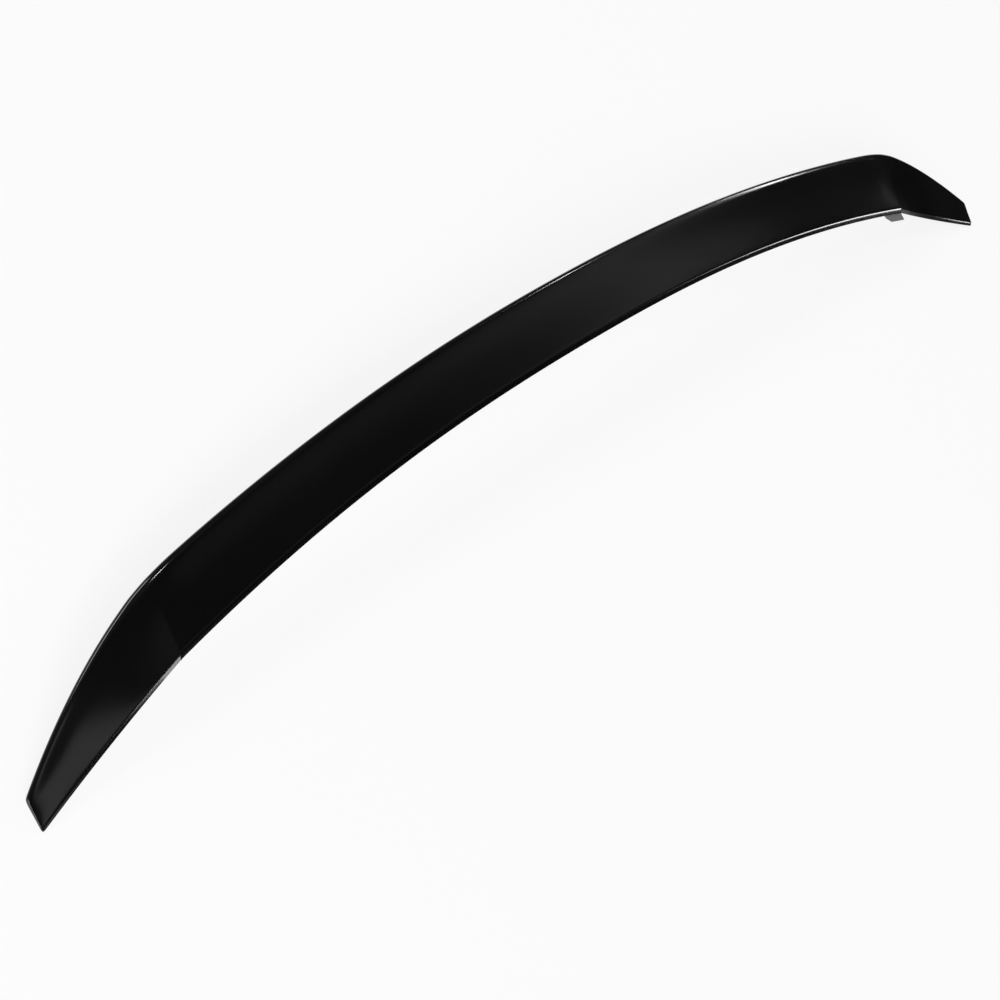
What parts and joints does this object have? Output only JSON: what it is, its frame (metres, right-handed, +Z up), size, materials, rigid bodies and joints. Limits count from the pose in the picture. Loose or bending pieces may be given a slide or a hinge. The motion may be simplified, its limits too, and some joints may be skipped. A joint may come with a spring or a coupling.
{
  "type": "trunk spoiler",
  "caption": "Long arched lip that bonds along the rear edge of a car's trunk lid with foam tape, with a dished top, a rounded nose, folded wings and a ribbed hollow underside",
  "frame": {"origin": "middle of the car, on the bonding face of the front foam tape", "axes": "X across the car, +X towards its left side; +Y to the rear of the car; +Z up"},
  "size_m": [1.3, 0.1527, 0.0947],
  "materials": {
    "gloss_black": "gloss",
    "foam_tape": "matte"
  },
  "bodies": {
    "root": {"spoiler_moulding": "gloss_black", "blade_tape_front": "foam_tape", "blade_tape_rear": "foam_tape", "left_wing_tape_front": "foam_tape", "left_wing_tape_rear": "foam_tape", "right_wing_tape_front": "foam_tape", "right_wing_tape_rear": "foam_tape"}
  },
  "joints": []
}
